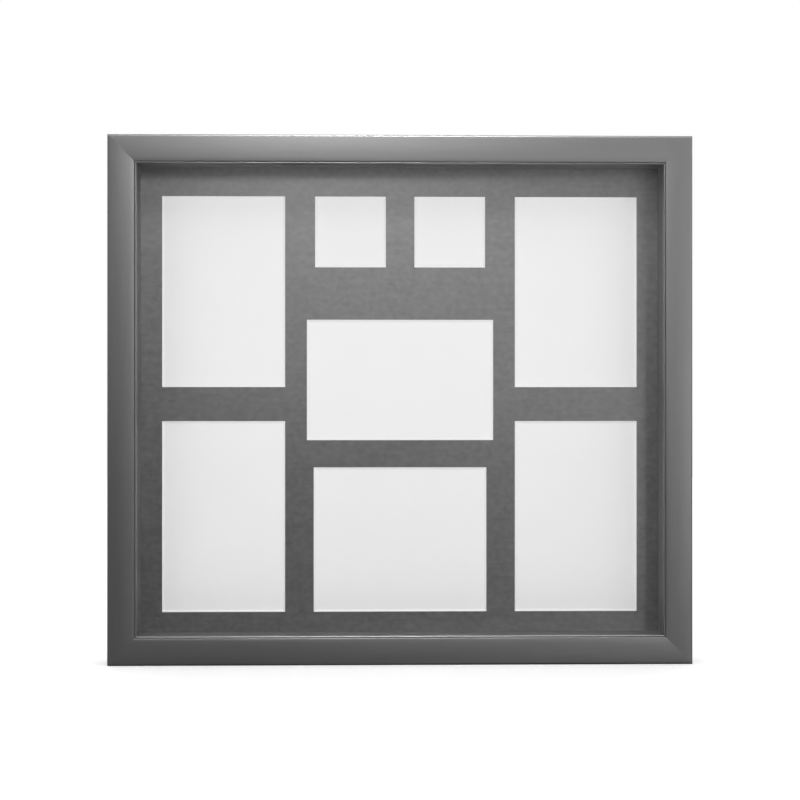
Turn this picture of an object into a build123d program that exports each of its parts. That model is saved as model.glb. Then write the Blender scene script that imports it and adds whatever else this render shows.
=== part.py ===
from build123d import *

import os
from math import cos, radians, sin

# Collage photo frame: a deep mitred moulding round a pane, a mat with eight bevelled windows, cards and a back.
# Millimetres. +Z is up, the face looks towards -Y and +X is to the right when the frame is seen from the front.
# The origin is under the middle of the frame, at the level of its lower edge.

# Windows in the mat, measured at its face
portrait_width = 90
portrait_height = 140
square_side = 52
landscape_width = 137
landscape_height = 88.5
wide_width = 127
wide_height = 106

# Bars of mat between the windows, and its margins inside the sight edge
column_gap = 16
portrait_gap = 25
square_gap = 21
gap_under_squares = 38.5
gap_over_wide = 20
side_margin = 15.5
head_margin = 20.5
foot_margin = 14.5

# Moulding, across its section
face_width = 21
rebate_width = 5.5
outer_edge_radius = 1.5
back_edge_chamfer = 0.8
crown_rise = 0.25
roll_width = 3.2
roll_drop = 0.35
bead_radius = 0.75
bead_proud = 0.25
lip_land = 3.9

# What the rebate holds, from the front to the back
glass_thickness = 2
glass_seam = 0.3
spacer_depth = 20
spacer_setback = 0.4
mat_thickness = 1.5
card_thickness = 0.5
card_overlap = 6
mount_board_thickness = 2
back_panel_thickness = 3
bevel_angle = 45
edge_play = 0.5
spacer_play = 0.3

# V-nails across the mitres
nail_leg = 4.2
nail_thickness = 0.5
nail_height = 10
nail_half_angle = 60
nail_sink = 0.3
nail_place_shares = (0.3, 0.62)

# Pan-head screws
screw_length = 12
screw_radius = 1.45
screw_tip = 2.5
screw_point_radius = 0.3
screw_sides = 12
pilot_play = 0.05
head_radius = 2.75
head_height = 1.9
head_top_radius = 1.9
head_rim = 1
recess_length = 3
recess_width = 0.7
recess_depth = 0.9

# Turn buttons
button_thickness = 0.9
button_hub_radius = 4.25
button_tip_radius = 3
button_reach = 10.5
button_play = 0.15
button_bore_play = 0.2
button_edge_break = 0.2
button_spread_share = 0.25
side_button_spread_share = 0.18

# Strap hangers and their rings
strap_width = 7.5
strap_thickness = 0.8
strap_length = 31
strap_bore_play = 0.2
strap_hole_spacing = 10
strap_end_margin = 5
ring_wire_radius = 0.9
ring_wire_sides = 8
ring_bore_play = 0.25
ring_side_play = 0.4
ring_corner_radius = 2
ring_leg = 2.5
hanger_drop = 60

# Wall bumpers
bumper_radius = 5
bumper_top_radius = 3.2
bumper_height = 3.5
bumper_rim = 1.5
bumper_inset = 24

# How far a cutting tool runs past what it cuts
overrun = 1

# Worked out from the sizes above
bead_width = bead_radius * 2
arm_width = face_width - rebate_width
roll_level = crown_rise + roll_drop
bead_level = roll_level - bead_proud + bead_radius
lip_depth = bead_level + lip_land
spacer_front = lip_depth + glass_thickness
mat_front = spacer_front + spacer_depth
card_front = mat_front + mat_thickness
mount_board_front = card_front + card_thickness
back_panel_front = mount_board_front + mount_board_thickness
rail_depth = back_panel_front + back_panel_thickness

ring_axis_height = strap_thickness + ring_bore_play + ring_wire_radius
knuckle_radius = ring_axis_height
hardware_reach = max(ring_axis_height + knuckle_radius, bumper_height)

portrait_stack = portrait_height * 2 + portrait_gap
middle_stack = square_side + gap_under_squares + landscape_height + gap_over_wide + wide_height
group_height = max(portrait_stack, middle_stack)
middle_width = max(landscape_width, wide_width, square_side * 2 + square_gap)
group_width = (portrait_width + column_gap) * 2 + middle_width

sight_width = group_width + side_margin * 2
sight_height = group_height + head_margin + foot_margin
frame_width = sight_width + face_width * 2
frame_height = sight_height + face_width * 2
rebate_across = sight_width + rebate_width * 2
rebate_up = sight_height + rebate_width * 2

middle_z = frame_height / 2
group_foot = face_width + foot_margin
group_head = group_foot + group_height
front_y = -(rail_depth + hardware_reach) / 2
back_y = front_y + rail_depth


def window_places():
    """Each window's name with its width, height and centre across and up."""
    portrait_x = (group_width - portrait_width) / 2
    square_x = (square_side + square_gap) / 2
    upper_z = group_head - portrait_height / 2
    lower_z = group_foot + portrait_height / 2
    square_z = group_head - square_side / 2
    landscape_z = group_foot + wide_height + gap_over_wide + landscape_height / 2
    return {
        "upper_left": (portrait_width, portrait_height, -portrait_x, upper_z),
        "upper_right": (portrait_width, portrait_height, portrait_x, upper_z),
        "lower_left": (portrait_width, portrait_height, -portrait_x, lower_z),
        "lower_right": (portrait_width, portrait_height, portrait_x, lower_z),
        "square_left": (square_side, square_side, -square_x, square_z),
        "square_right": (square_side, square_side, square_x, square_z),
        "landscape": (landscape_width, landscape_height, 0, landscape_z),
        "wide": (wide_width, wide_height, 0, group_foot + wide_height / 2),
    }


def rail_frames():
    """Each rail's name with its length and a plane at its first corner: x runs inwards, z along the rail."""
    left = -frame_width / 2
    right = frame_width / 2
    return {
        "top": (frame_width, Plane((left, front_y, frame_height), x_dir=(0, 0, -1), z_dir=(1, 0, 0))),
        "bottom": (frame_width, Plane((right, front_y, 0), x_dir=(0, 0, 1), z_dir=(-1, 0, 0))),
        "left": (frame_height, Plane((left, front_y, 0), x_dir=(1, 0, 0), z_dir=(0, 0, 1))),
        "right": (frame_height, Plane((right, front_y, frame_height), x_dir=(-1, 0, 0), z_dir=(0, 0, -1))),
    }


def slab(width, height, front, thickness, x=0, z=middle_z):
    """An upright flat piece whose near face lies so far behind the face of the frame."""
    block = Box(width, thickness, height, align=(Align.CENTER, Align.MIN, Align.CENTER))
    return Pos(x, front_y + front, z) * block


def on_back(x, z, towards):
    """A plane on the backs of the rails: x points the way given, z points away from the frame."""
    return Plane((x, back_y, z), x_dir=towards, z_dir=(0, 1, 0))


def rail_section():
    """The moulding cut across: x runs in from the outer side and y runs back from the top of the crown."""
    bead_start = face_width - bead_width
    crown_end = bead_start - roll_width
    with BuildSketch() as section:
        with BuildLine():
            crown = ThreePointArc((0, crown_rise), (crown_end / 2, 0), (crown_end, crown_rise))
            roll = TangentArc(crown @ 1, (bead_start, roll_level), tangent=crown % 1)
            quirk = Line(roll @ 1, (bead_start, bead_level))
            bead = ThreePointArc(
                quirk @ 1, (face_width - bead_radius, bead_level - bead_radius), (face_width, bead_level)
            )
            Polyline(
                bead @ 1,
                (face_width, lip_depth),
                (arm_width, lip_depth),
                (arm_width, rail_depth),
                (0, rail_depth),
                (0, crown_rise),
            )
        make_face()
        outer_corner = section.vertices().sort_by_distance((0, crown_rise))[0]
        fillet(outer_corner, outer_edge_radius)
        back_corner = section.vertices().sort_by_distance((0, rail_depth))[0]
        chamfer(back_corner, back_edge_chamfer)
    return section.sketch


def mitred_bar(length):
    """A rail lying along z, its ends cut at 45 degrees so that its outer side is the longer one."""
    bar = extrude(rail_section(), amount=length)
    outline = Polyline(
        (0, 0), (face_width, face_width), (face_width, length - face_width), (0, length), close=True
    )
    keep = extrude(Plane.XZ * make_face(outline), amount=rail_depth + overrun, both=True)
    return bar & keep


def nail_planes():
    """Two seats for V-nails at each corner, on the backs of the mitres: x points inwards along the mitre."""
    planes = []
    for across in (-1, 1):
        for up in (-1, 1):
            for share in nail_place_shares:
                inset = arm_width * share
                x = across * (frame_width / 2 - inset)
                z = middle_z + up * (frame_height / 2 - inset)
                planes.append(on_back(x, z, (-across, 0, -up)))
    return planes


def nail_outline():
    """A V-nail seen from the back: its point on the origin and its two legs opening along x."""
    reach = Vector(cos(radians(nail_half_angle)), sin(radians(nail_half_angle)))
    tip = reach * nail_leg
    inner_tip = tip + Vector(reach.Y, -reach.X) * nail_thickness
    outline = Polyline(
        (0, 0),
        (tip.X, tip.Y),
        (inner_tip.X, inner_tip.Y),
        (nail_thickness / reach.Y, 0),
        (inner_tip.X, -inner_tip.Y),
        (tip.X, -tip.Y),
        close=True,
    )
    return make_face(outline)


def nail():
    """A V-nail driven just under the backs of the rails, which are at z = 0."""
    return extrude(Pos(0, 0, -nail_sink) * nail_outline(), amount=-nail_height)


def nail_slot():
    """The slot that a V-nail leaves on its way in, open to the back."""
    return extrude(Pos(0, 0, overrun) * nail_outline(), amount=-(overrun + nail_sink + nail_height))


def round_stage(low_radius, low_z, high_radius, high_z):
    """One stage of a screw, straight or tapered, round but for its few flat sides."""
    low = Pos(0, 0, low_z) * RegularPolygon(low_radius, screw_sides)
    high = Pos(0, 0, high_z) * RegularPolygon(high_radius, screw_sides)
    return loft([low, high], ruled=True)


def screw():
    """A pan-head screw: the head stands on z = 0 and the shank runs down to its point."""
    shank_end = screw_tip - screw_length
    body = round_stage(screw_point_radius, -screw_length, screw_radius, shank_end)
    body += round_stage(screw_radius, shank_end, screw_radius, 0)
    body += round_stage(head_radius, 0, head_radius, head_rim)
    body += round_stage(head_radius, head_rim, head_top_radius, head_height)
    slot = Box(recess_length, recess_width, recess_depth + overrun, align=(Align.CENTER, Align.CENTER, Align.MIN))
    slot = Pos(0, 0, head_height - recess_depth) * slot
    return body - slot - Rot(0, 0, 90) * slot


def pilot_hole(depth):
    """The hole that a screw's shank is driven into, measured down from z = 0."""
    radius = screw_radius + pilot_play
    return round_stage(radius, -depth, radius, overrun)


def turn_button():
    """A stamped button: hub on the origin, tip along x, lying just off z = 0, its upper edge broken."""
    hub = Circle(button_hub_radius)
    tip = Pos(button_reach - button_tip_radius, 0) * Circle(button_tip_radius)
    plate = extrude(make_hull(hub.edges() + tip.edges()), amount=button_thickness)
    plate = chamfer(plate.faces().sort_by(Axis.Z)[-1].outer_wire().edges(), button_edge_break)
    bore = Cylinder(screw_radius + button_bore_play, (button_thickness + overrun) * 2)
    return Pos(0, 0, button_play) * (plate - bore)


def button_planes():
    """Each turn button's name with the plane it turns on, pointing in over the back panel."""
    inset = arm_width - button_hub_radius
    across = frame_width * button_spread_share
    up = frame_height * side_button_spread_share
    side_x = frame_width / 2 - inset
    return {
        "turn_button_top_left": on_back(-across, frame_height - inset, (0, 0, -1)),
        "turn_button_top_right": on_back(across, frame_height - inset, (0, 0, -1)),
        "turn_button_bottom_left": on_back(-across, inset, (0, 0, 1)),
        "turn_button_bottom_right": on_back(across, inset, (0, 0, 1)),
        "turn_button_left_upper": on_back(-side_x, middle_z + up, (1, 0, 0)),
        "turn_button_left_lower": on_back(-side_x, middle_z - up, (1, 0, 0)),
        "turn_button_right_upper": on_back(side_x, middle_z + up, (-1, 0, 0)),
        "turn_button_right_lower": on_back(side_x, middle_z - up, (-1, 0, 0)),
    }


def hanger_planes():
    """Each side's plane for its strap hanger: origin under the ring's axis, x down the strap."""
    x = (frame_width - arm_width) / 2
    z = frame_height - hanger_drop
    return {"left": on_back(-x, z, (0, 0, -1)), "right": on_back(x, z, (0, 0, -1))}


def strap_hole_places():
    """The two screw places along a strap, measured from the ring's axis."""
    last = strap_length - strap_end_margin
    return (last - strap_hole_spacing, last)


def strap_hanger():
    """A steel strap with a round end and two holes, rolled at its other end into a knuckle for the ring."""
    end_x = strap_length - strap_width / 2
    outline = Pos(end_x / 2, 0) * Rectangle(end_x, strap_width) + Pos(end_x, 0) * Circle(strap_width / 2)
    plate = extrude(outline, amount=strap_thickness)
    for place in strap_hole_places():
        plate -= Pos(place, 0) * Cylinder(screw_radius + strap_bore_play, (strap_thickness + overrun) * 2)
    roll = Circle(knuckle_radius) - Circle(knuckle_radius - strap_thickness)
    knuckle = extrude(Plane.XZ * Pos(0, ring_axis_height) * roll, amount=strap_width / 2, both=True)
    return plate + knuckle


def hanging_ring():
    """A D-ring hanging down: its bar lies in the knuckle and its bow reaches along x."""
    half_bar = (strap_width / 2 + ring_side_play) + ring_corner_radius
    bow_start = ring_corner_radius + ring_leg
    corner = ring_corner_radius * (1 - cos(radians(45)))
    with BuildLine() as loop:
        bar = Line((0, ring_corner_radius - half_bar), (0, half_bar - ring_corner_radius))
        near_corner = ThreePointArc(
            bar @ 1, (corner, half_bar - corner), (ring_corner_radius, half_bar)
        )
        near_leg = Line(near_corner @ 1, (bow_start, half_bar))
        bow = ThreePointArc(near_leg @ 1, (bow_start + half_bar, 0), (bow_start, -half_bar))
        far_leg = Line(bow @ 1, (ring_corner_radius, -half_bar))
        ThreePointArc(far_leg @ 1, (corner, corner - half_bar), bar @ 0)
    wire = sweep(Plane.XZ * RegularPolygon(ring_wire_radius, ring_wire_sides), path=loop.wire())
    return Pos(0, 0, ring_axis_height) * wire


def bumper():
    """A round rubber bumper standing on z = 0, narrower towards the wall."""
    half = Polyline(
        (0, bumper_height),
        (0, 0),
        (bumper_radius, 0),
        (bumper_radius, bumper_rim),
        (bumper_top_radius, bumper_height),
        close=True,
    )
    return revolve(Plane.XZ * make_face(half), axis=Axis.Z)


def bumper_planes():
    """The places of the two bumpers, near the ends of the bottom rail."""
    x = frame_width / 2 - bumper_inset
    z = arm_width / 2
    return {"left": on_back(-x, z, (1, 0, 0)), "right": on_back(x, z, (1, 0, 0))}


def glass_pane():
    """The pane behind the lip, its sharp edges seamed off."""
    width = rebate_across - edge_play * 2
    height = rebate_up - edge_play * 2
    pane = slab(width, height, lip_depth, glass_thickness)
    return chamfer(pane.edges(), glass_seam)


def spacers():
    """Four strips that hold the mat off the glass: the long ones across, the short ones between them."""
    thickness = rebate_width - spacer_play - spacer_setback
    outer_across = rebate_across - spacer_play * 2
    outer_up = rebate_up - spacer_play * 2
    side_height = outer_up - thickness * 2
    side_x = (outer_across - thickness) / 2
    end_z = (outer_up - thickness) / 2
    return {
        "spacer_top": slab(outer_across, thickness, spacer_front, spacer_depth, z=middle_z + end_z),
        "spacer_bottom": slab(outer_across, thickness, spacer_front, spacer_depth, z=middle_z - end_z),
        "spacer_left": slab(thickness, side_height, spacer_front, spacer_depth, x=-side_x),
        "spacer_right": slab(thickness, side_height, spacer_front, spacer_depth, x=side_x),
    }


def window_mat():
    """The mat, with each window cut on a bevel so that it narrows towards the back."""
    mat = slab(rebate_across - edge_play * 2, rebate_up - edge_play * 2, mat_front, mat_thickness)
    near = Plane((0, front_y + mat_front, 0), x_dir=(1, 0, 0), z_dir=(0, 1, 0))
    for width, height, x, z in window_places().values():
        cut = near * Pos(x, -z) * Rectangle(width + overrun * 2, height + overrun * 2)
        mat -= extrude(cut.moved(Pos(0, -overrun, 0)), amount=mat_thickness + overrun * 2, taper=bevel_angle)
    return mat


def photo_cards():
    """A blank card behind each window, wider than the window all round."""
    cards = {}
    for name, (width, height, x, z) in window_places().items():
        card_width = width + card_overlap * 2
        card_height = height + card_overlap * 2
        cards["card_" + name] = slab(card_width, card_height, card_front, card_thickness, x=x, z=z)
    return cards


def boards():
    """The mount board behind the cards, and the back panel flush with the backs of the rails."""
    width = rebate_across - edge_play * 2
    height = rebate_up - edge_play * 2
    return {
        "mount_board": slab(width, height, mount_board_front, mount_board_thickness),
        "back_panel": slab(width, height, back_panel_front, back_panel_thickness),
    }


def strap_screw_planes():
    """The four planes on which the heads of the strap screws sit."""
    planes = []
    for plane in hanger_planes().values():
        for place in strap_hole_places():
            planes.append(plane.location * Pos(place, 0, strap_thickness))
    return planes


def rails():
    """The four rails, with the slots of the V-nails and the pilot holes of the screws cut in them."""
    button_pilot = pilot_hole(screw_length - button_thickness - button_play * 2)
    strap_pilot = pilot_hole(screw_length - strap_thickness)
    tools = [plane.location * nail_slot() for plane in nail_planes()]
    tools += [plane.location * button_pilot for plane in button_planes().values()]
    for plane in hanger_planes().values():
        tools += [plane.location * Pos(place, 0) * strap_pilot for place in strap_hole_places()]
    return {
        "rail_" + name: plane.location * mitred_bar(length) - tools
        for name, (length, plane) in rail_frames().items()
    }


def save(name, shape):
    """Writes one sub-part to its own file."""
    os.makedirs("parts", exist_ok=True)
    export_step(shape, "parts/" + name + ".step")


def build():
    """Makes every sub-part and returns them by name."""
    button_screw = Pos(0, 0, button_thickness + button_play * 2) * screw()
    pieces = rails()
    pieces["corner_nails"] = Compound([plane.location * nail() for plane in nail_planes()])
    pieces["glass_pane"] = glass_pane()
    pieces.update(spacers())
    pieces["window_mat"] = window_mat()
    pieces.update(photo_cards())
    pieces.update(boards())
    for name, plane in button_planes().items():
        pieces[name] = plane.location * turn_button()
    pieces["turn_button_screws"] = Compound([plane.location * button_screw for plane in button_planes().values()])
    for side, plane in hanger_planes().items():
        pieces["strap_hanger_" + side] = plane.location * strap_hanger()
        pieces["hanging_ring_" + side] = plane.location * hanging_ring()
    pieces["strap_screws"] = Compound([place * screw() for place in strap_screw_planes()])
    for side, plane in bumper_planes().items():
        pieces["bumper_" + side] = plane.location * bumper()
    return pieces


for piece_name, piece in build().items():
    save(piece_name, piece)
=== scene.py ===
import logging
from abc import ABC, abstractmethod
from collections.abc import Callable, Iterator
from contextlib import contextmanager
from dataclasses import dataclass
from enum import Enum
from functools import reduce
from math import asin, atan2, cos, hypot, pi, radians, sin, tau

import bmesh
import bpy
from bpy.types import Material, Node, NodeSocket, NodeTree, Object
from mathutils import Matrix, Vector


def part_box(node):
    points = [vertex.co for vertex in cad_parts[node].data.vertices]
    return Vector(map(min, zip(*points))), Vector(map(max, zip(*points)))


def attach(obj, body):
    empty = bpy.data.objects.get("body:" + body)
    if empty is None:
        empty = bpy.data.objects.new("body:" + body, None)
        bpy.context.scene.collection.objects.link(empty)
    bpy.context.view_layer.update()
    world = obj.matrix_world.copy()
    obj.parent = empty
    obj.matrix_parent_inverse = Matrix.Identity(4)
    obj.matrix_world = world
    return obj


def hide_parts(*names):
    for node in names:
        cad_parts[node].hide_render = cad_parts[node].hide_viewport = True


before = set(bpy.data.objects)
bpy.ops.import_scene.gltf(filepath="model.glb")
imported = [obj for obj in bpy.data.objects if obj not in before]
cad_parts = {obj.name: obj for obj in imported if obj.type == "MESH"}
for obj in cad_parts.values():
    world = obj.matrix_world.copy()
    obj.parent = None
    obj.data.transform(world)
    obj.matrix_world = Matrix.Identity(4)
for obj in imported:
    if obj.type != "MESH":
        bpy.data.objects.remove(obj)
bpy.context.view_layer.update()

MM = 0.001
WELD = MM / 1000  # corners nearer than this are one
FLAT = radians(0.5)  # faces that differ by less are one
FACING = 0.5  # the least part of a normal along the way that its face looks
UP = Vector((0, 0, 1))
DOWN = Vector((0, 0, -1))
LEFTWARDS = Vector((-1, 0, 0))
RIGHTWARDS = Vector((1, 0, 0))
BACK = Vector((0, 1, 0))
FIXED_BODY = "frame"
WHITE = (1.0, 1.0, 1.0)

log = logging.getLogger("collage_frame")

Feed = NodeSocket | float | tuple[float, ...]
Colour = tuple[float, float, float]
Cells = tuple[float, float, float]
Span = tuple[float, float]


# Modelling


def start_fresh() -> None:
    """Leaves nothing selected, so that an operator acts on the new piece alone."""
    bpy.ops.object.select_all(action="DESELECT")


def choose(piece: Object) -> None:
    """Selects one object alone and makes it the active one.

    Args:
        piece: The object that the next operators act on.
    """
    start_fresh()
    piece.select_set(True)
    bpy.context.view_layer.objects.active = piece


@contextmanager
def editing(piece: Object) -> Iterator[None]:
    """Opens a mesh for editing, with nothing selected, and closes it afterwards.

    Args:
        piece: The mesh object to edit.
    """
    choose(piece)
    bpy.ops.object.mode_set(mode="EDIT")
    bpy.ops.mesh.select_mode(type="VERT")
    bpy.ops.mesh.select_all(action="DESELECT")
    yield
    bpy.ops.object.mode_set(mode="OBJECT")


def pick_faces(piece: Object, wanted: Callable[[bmesh.types.BMFace], bool]) -> None:
    """Selects the faces of the mesh being edited that pass a test, and no others.

    Args:
        piece: The mesh object being edited.
        wanted: The test for one face.
    """
    bpy.ops.mesh.select_mode(type="FACE")
    bpy.ops.mesh.select_all(action="DESELECT")
    mesh = bmesh.from_edit_mesh(piece.data)
    for face in mesh.faces:
        face.select = wanted(face)
    mesh.select_flush_mode()
    bmesh.update_edit_mesh(piece.data)


def select_all() -> None:
    """Selects the whole of the mesh being edited."""
    bpy.ops.mesh.select_all(action="SELECT")


def face_outwards() -> None:
    """Turns all the faces of the mesh being edited outwards."""
    select_all()
    bpy.ops.mesh.normals_make_consistent(inside=False)


def weld() -> None:
    """Merges the doubled corners of the mesh being edited."""
    select_all()
    bpy.ops.mesh.remove_doubles(threshold=WELD)


def name_active(name: str) -> Object:
    """Names the object that an operator has just added.

    Args:
        name: The new object's name.

    Returns:
        The object.
    """
    piece = bpy.context.active_object
    piece.name = name
    piece.data.name = name
    return piece


def draw_outline(name: str, points: list[Vector], closed: bool = True) -> Object:
    """Draws a chain of edges by extruding one vertex from point to point.

    Args:
        name: The new object's name.
        points: The corners of the outline in order.
        closed: Whether the chain is filled to a face.

    Returns:
        The mesh object with the outline.
    """
    start_fresh()
    bpy.ops.mesh.primitive_plane_add(size=MM, location=points[0])
    bpy.ops.object.transform_apply(location=True)
    outline = name_active(name)
    with editing(outline):
        select_all()
        bpy.ops.mesh.merge(type="CENTER")
        for before, after in zip(points, points[1:]):
            bpy.ops.mesh.extrude_vertices_move(TRANSFORM_OT_translate={"value": after - before})
        if closed:
            select_all()
            bpy.ops.mesh.edge_face_add()
    return outline


def pull(piece: Object, move: Vector) -> None:
    """Extrudes all of a flat mesh by a move and turns its faces outwards.

    Args:
        piece: The mesh object.
        move: How far and which way the flat shape is extruded.
    """
    with editing(piece):
        select_all()
        bpy.ops.mesh.extrude_region_move(TRANSFORM_OT_translate={"value": move})
        face_outwards()


def turn(piece: Object, steps: int) -> None:
    """Spins a half section once round the z axis to a closed body.

    Args:
        piece: The half section, in the plane of x and z.
        steps: The number of steps in the round.
    """
    with editing(piece):
        select_all()
        bpy.ops.mesh.spin(steps=steps, angle=tau, center=(0, 0, 0), axis=(0, 0, 1))
        weld()
        face_outwards()


def add_rod(radius: float, low: float, high: float, x: float = 0, sides: int = 48) -> Object:
    """Adds a closed round rod that stands along z.

    Args:
        radius: The rod's radius.
        low: The height of its lower end.
        high: The height of its upper end.
        x: Where it stands along x.
        sides: The number of its sides.

    Returns:
        The rod.
    """
    start_fresh()
    bpy.ops.mesh.primitive_cylinder_add(
        vertices=sides, radius=radius, depth=high - low, location=(x, 0, (low + high) / 2)
    )
    bpy.ops.object.transform_apply(location=True)
    return name_active("rod")


def modify(piece: Object, kind: str, **settings: Object | str | float) -> None:
    """Puts a modifier on a piece and applies it.

    Args:
        piece: The object to modify.
        kind: Blender's name for the kind of modifier.
        **settings: The modifier's own settings.
    """
    modifier = piece.modifiers.new(kind.lower(), kind)
    for setting, value in settings.items():
        setattr(modifier, setting, value)
    choose(piece)
    bpy.ops.object.modifier_apply(modifier=modifier.name)


def combine(piece: Object, tool: Object, operation: str = "DIFFERENCE") -> None:
    """Cuts, joins or trims a piece with a second body, which is then gone.

    Args:
        piece: The object that stays.
        tool: The object that is used up.
        operation: DIFFERENCE, UNION or INTERSECT.
    """
    modify(piece, "BOOLEAN", operation=operation, solver="MANIFOLD", object=tool)
    bpy.data.objects.remove(tool)


def join(piece: Object, other: Object) -> None:
    """Joins a second object into a piece.

    Args:
        piece: The object that stays.
        other: The object that becomes part of it.
    """
    choose(piece)
    other.select_set(True)
    bpy.ops.object.join()


def soften(piece: Object, width: float, segments: int = 2, angle: float = radians(50)) -> None:
    """Rounds the sharp edges of a piece.

    Args:
        piece: The mesh object.
        width: The width of the rounding.
        segments: The number of steps in it.
        angle: The least angle between two faces that counts as sharp.
    """
    with editing(piece):
        select_all()
        bpy.ops.mesh.dissolve_limited(angle_limit=FLAT)
    modify(piece, "BEVEL", width=width, segments=segments, limit_method="ANGLE", angle_limit=angle)


def smooth(piece: Object, angle: float = radians(30)) -> None:
    """Shades a piece smooth except across its sharp edges, with its large faces kept flat.

    Args:
        piece: The mesh object.
        angle: The least angle between two faces that stays sharp.
    """
    choose(piece)
    bpy.ops.object.shade_smooth_by_angle(angle=angle)
    modify(piece, "WEIGHTED_NORMAL", keep_sharp=True)


def copy_of(source: Object, name: str) -> Object:
    """Copies an object together with its mesh.

    Args:
        source: The object to copy.
        name: The copy's name.

    Returns:
        The copy, in the scene and without a parent.
    """
    piece = source.copy()
    piece.data = source.data.copy()
    piece.name = name
    piece.data.name = name
    piece.parent = None
    for mark in list(piece.keys()):
        del piece[mark]
    bpy.context.collection.objects.link(piece)
    return piece


def wrap(piece: Object) -> None:
    """Fills a mesh out to its convex hull.

    Args:
        piece: The mesh object.
    """
    with editing(piece):
        select_all()
        bpy.ops.mesh.convex_hull()


def put(piece: Object, place: Matrix) -> None:
    """Moves a piece into place and keeps the place in its mesh.

    Args:
        piece: The mesh object, modelled about the origin.
        place: Where its origin and axes go.
    """
    piece.matrix_world = place
    choose(piece)
    bpy.ops.object.transform_apply(location=True, rotation=True, scale=True)


def axes(origin: Vector, across: Vector, outwards: Vector) -> Matrix:
    """Makes a place from an origin, the way of x and the way of z.

    Args:
        origin: Where the place's origin lies.
        across: Which way its x axis points.
        outwards: Which way its z axis points.

    Returns:
        The matrix that moves a piece from the origin to the place.
    """
    side = outwards.cross(across)
    turned = Matrix((across, side, outwards)).transposed().to_4x4()
    return Matrix.Translation(origin) @ turned


def arc_points(centre: Vector, radius: float, start: float, end: float, steps: int) -> list[Vector]:
    """Points along an arc in the plane of x and y, from one angle to another, both ends among them."""
    angles = [start + (end - start) * step / steps for step in range(steps + 1)]
    return [centre + Vector((cos(angle), sin(angle), 0)) * radius for angle in angles]


# Finishes

WHOLE: Span = (0.0, 1.0)
NOISE_RANGE: Span = (0.3, 0.7)
TWO_NOISES_RANGE: Span = (0.6, 1.4)
EVEN: Cells = (1, 1, 1)


@dataclass(frozen=True)
class Noise:
    """Smooth noise: its cells in a metre along each axis, its finer layers and their strength."""

    cells: Cells
    detail: float = 3
    roughness: float = 0.5


def even(count: float) -> Cells:
    """The same number of cells along each axis."""
    return (count, count, count)


class Wiring:
    """A node tree being laid out."""

    def __init__(self, tree: NodeTree) -> None:
        """Takes over a node tree."""
        self.tree = tree

    def feed(self, socket: NodeSocket, value: Feed) -> None:
        """Links a socket to a node's output, or sets it to a plain value.

        Args:
            socket: The input socket.
            value: The output to link or the value to set.
        """
        if isinstance(value, NodeSocket):
            self.tree.links.new(value, socket)
        else:
            socket.default_value = value

    def node(self, kind: str, feeds: dict[str | int, Feed], **settings: str | int) -> Node:
        """Adds a node.

        Args:
            kind: Blender's name for the kind of node.
            feeds: What goes into its sockets.
            **settings: The node's own settings.

        Returns:
            The node.
        """
        made = self.tree.nodes.new(kind)
        for setting, value in settings.items():
            setattr(made, setting, value)
        for socket, value in feeds.items():
            self.feed(made.inputs[socket], value)
        return made

    def span(self, value: NodeSocket, source: Span, target: Span) -> NodeSocket:
        """Maps one range of a value onto another, and no further than its ends."""
        ends = dict(zip(("From Min", "From Max", "To Min", "To Max"), source + target))
        return self.node("ShaderNodeMapRange", {"Value": value, **ends}).outputs[0]

    def maths(self, operation: str, first: Feed, second: Feed) -> NodeSocket:
        """Works on two values with one of Blender's operations."""
        return self.node("ShaderNodeMath", {0: first, 1: second}, operation=operation).outputs[0]

    def sum(self, first: Feed, second: Feed) -> NodeSocket:
        """Adds two values."""
        return self.maths("ADD", first, second)

    def blend(self, share: Feed, first: NodeSocket, second: NodeSocket) -> NodeSocket:
        """Blends two shaders: the share is how much of the second there is."""
        return self.node("ShaderNodeMixShader", {0: share, 1: first, 2: second}).outputs[0]

    def ray(self, kind: str) -> NodeSocket:
        """Tells whether a ray is of one kind, such as Camera."""
        return self.node("ShaderNodeLightPath", {}).outputs[f"Is {kind} Ray"]

    def seen(self) -> NodeSocket:
        """Tells whether the camera sees the point, also through the glass."""
        return self.maths("MAXIMUM", self.ray("Camera"), self.ray("Transmission"))


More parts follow.
